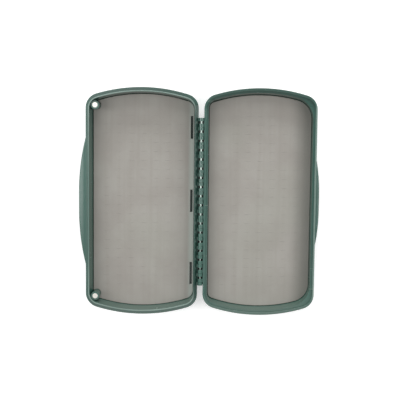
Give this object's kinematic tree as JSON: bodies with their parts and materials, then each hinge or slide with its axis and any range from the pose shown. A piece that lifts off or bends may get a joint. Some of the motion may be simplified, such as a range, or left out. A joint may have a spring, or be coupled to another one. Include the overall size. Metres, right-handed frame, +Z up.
{
  "type": "fly box",
  "caption": "Hinged fly box open flat: two shallow bow-ended trays with grey slit mats, corner magnets, finger tabs and a long pinned knuckle hinge.",
  "frame": {"origin": "centre of the base tray's flat underside, on the surface that the open box lies on", "axes": "+X from the base tray across the hinge to the lid tray, +Y along the long sides and the hinge, +Z up out of the open trays"},
  "size_m": [0.1941, 0.1838, 0.0179],
  "materials": {
    "shell_plastic": "dark grey-green moulded plastic, satin",
    "mat_silicone": "warm grey silicone, matte, finely slit",
    "adhesive": "thin double-sided adhesive sheet",
    "pin_steel": "plain stainless steel rod",
    "magnet_nickel": "bright nickel plating"
  },
  "bodies": {
    "base": {"base_shell": "shell_plastic", "base_mat": "mat_silicone", "base_mat_adhesive": "adhesive", "base_magnet_upper": "magnet_nickel", "base_magnet_lower": "magnet_nickel", "hinge_pin": "pin_steel"},
    "lid": {"lid_shell": "shell_plastic", "lid_mat": "mat_silicone", "lid_mat_adhesive": "adhesive", "lid_magnet_upper": "magnet_nickel", "lid_magnet_lower": "magnet_nickel", "lid_magnet_cap_upper": "shell_plastic", "lid_magnet_cap_lower": "shell_plastic"}
  },
  "joints": [
    {"name": "lid_hinge", "type": "hinge", "parent": "base", "child": "lid", "pos_m": [0.0475, 0, 0.016], "axis": [0, -1, 0], "range_deg": [0, 180]}
  ]
}
